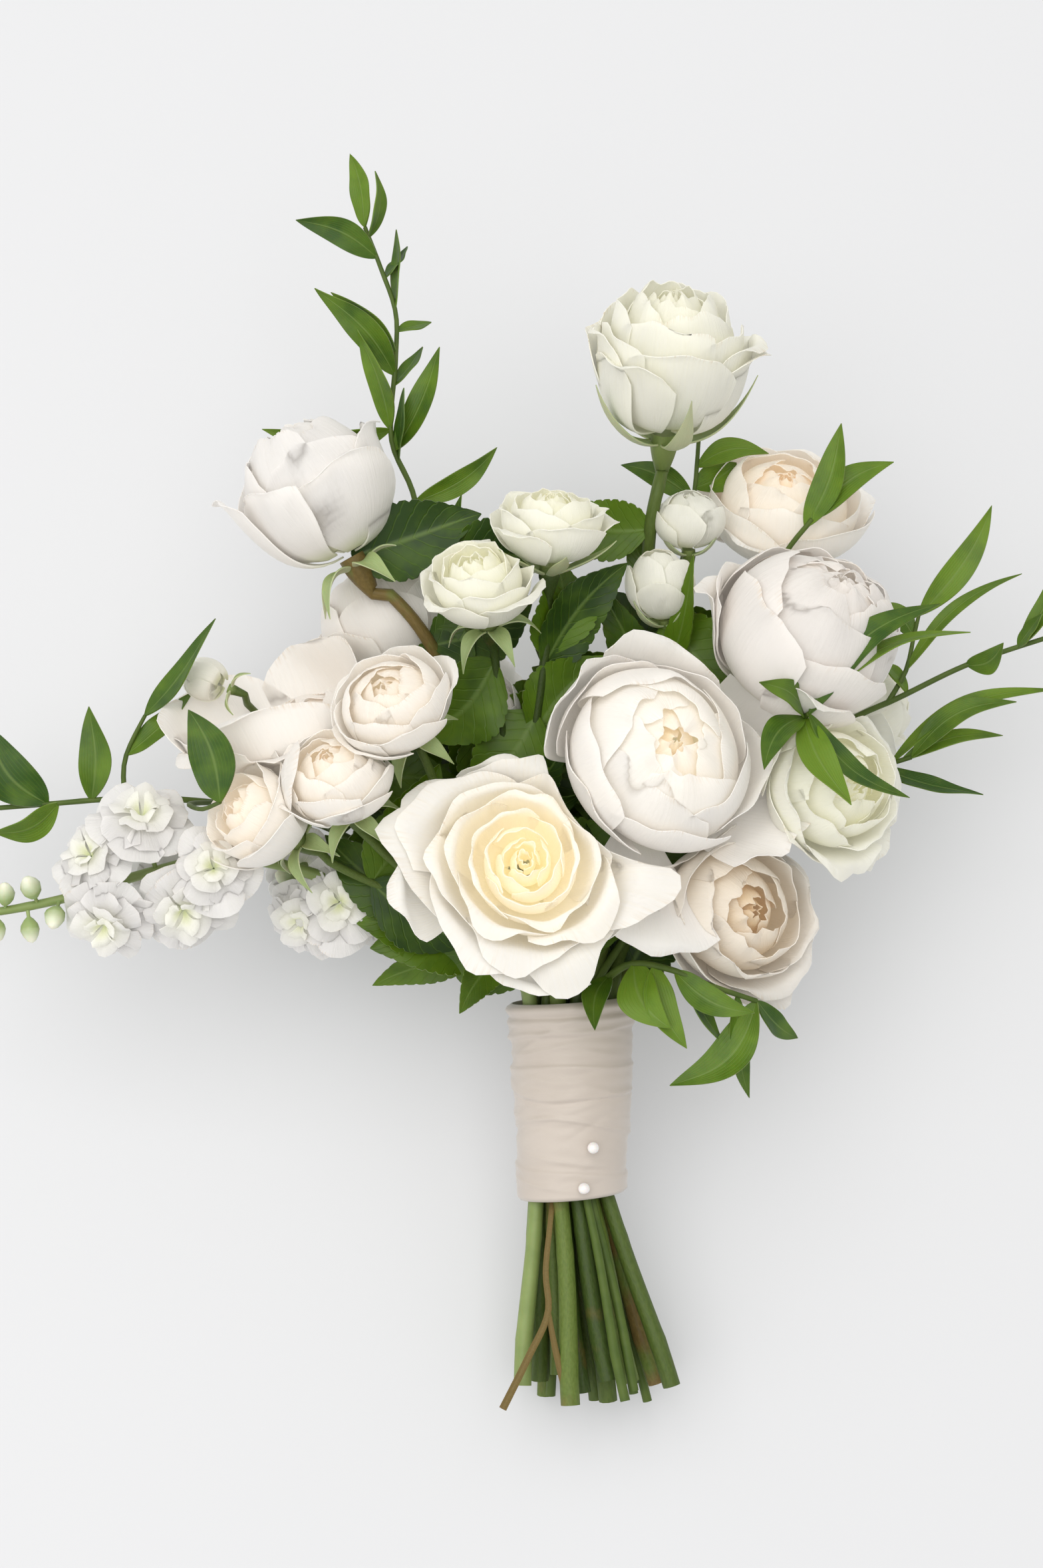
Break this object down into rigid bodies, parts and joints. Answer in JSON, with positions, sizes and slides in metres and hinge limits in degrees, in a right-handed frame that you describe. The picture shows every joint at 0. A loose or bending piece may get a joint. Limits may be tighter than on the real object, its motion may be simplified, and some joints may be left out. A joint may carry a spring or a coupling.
{
  "type": "bouquet",
  "caption": "Hand-tied bouquet of white and cream roses with spray roses, stock and leafy ruscus, its stems bound in a pinned silk ribbon.",
  "frame": {"origin": "centre of the bounding box, on the table plane", "axes": "+Z up from the table; +Y from the cut stems to the top of the bouquet; +X to the right, seen from above with +Y up"},
  "size_m": [0.5402, 0.5565, 0.1884],
  "materials": {
    "white_petal": "soft white petals, cream inside",
    "cream_petal": "cream petals, peach inside",
    "rose_stem": "smooth green rind with brown marks",
    "ruscus_leaf": "glossy green leaf",
    "stock_spike": "white florets on a pale green spike",
    "silk_ribbon": "satin",
    "binding_tape": "waxed",
    "pearl_pin": "pearl"
  },
  "bodies": {
    "root": {"top_rose_bloom": "white_petal", "upper_left_rose_bloom": "white_petal", "blush_rose_bloom": "white_petal", "left_rose_bloom": "white_petal", "right_rose_bloom": "white_petal", "back_right_rose_bloom": "white_petal", "centre_rose_bloom": "white_petal", "cream_rose_bloom": "cream_petal", "green_white_rose_bloom": "white_petal", "shaded_rose_bloom": "cream_petal", "far_right_rose_bloom": "white_petal", "table_left_rose_bloom": "white_petal", "table_right_rose_bloom": "white_petal", "spray_rose_1": "white_petal", "spray_rose_2": "white_petal", "spray_rose_3": "white_petal", "spray_rose_4": "white_petal", "spray_rose_5": "white_petal", "spray_rose_6": "white_petal", "spray_rose_7": "white_petal", "spray_rose_8": "white_petal", "spray_bud_1": "white_petal", "spray_bud_2": "white_petal", "top_rose_stem": "rose_stem", "upper_left_rose_stem": "rose_stem", "blush_rose_stem": "rose_stem", "left_rose_stem": "rose_stem", "right_rose_stem": "rose_stem", "back_right_rose_stem": "rose_stem", "centre_rose_stem": "rose_stem", "cream_rose_stem": "rose_stem", "green_white_rose_stem": "rose_stem", "shaded_rose_stem": "rose_stem", "far_right_rose_stem": "rose_stem", "table_left_rose_stem": "rose_stem", "table_right_rose_stem": "rose_stem", "spray_left_stem": "rose_stem", "spray_middle_stem": "rose_stem", "spray_right_stem": "rose_stem", "spray_inner_stem": "rose_stem", "stock_long_stem": "stock_spike", "stock_short_stem": "stock_spike", "ruscus_tall": "ruscus_leaf", "ruscus_top": "ruscus_leaf", "ruscus_upper_right": "ruscus_leaf", "ruscus_right": "ruscus_leaf", "ruscus_front": "ruscus_leaf", "ruscus_low_right": "ruscus_leaf", "ruscus_low": "ruscus_leaf", "ruscus_left": "ruscus_leaf", "ribbon_wrap": "silk_ribbon", "binding_tape": "binding_tape", "pearl_pin_upper": "pearl_pin", "pearl_pin_lower": "pearl_pin"}
  },
  "joints": []
}
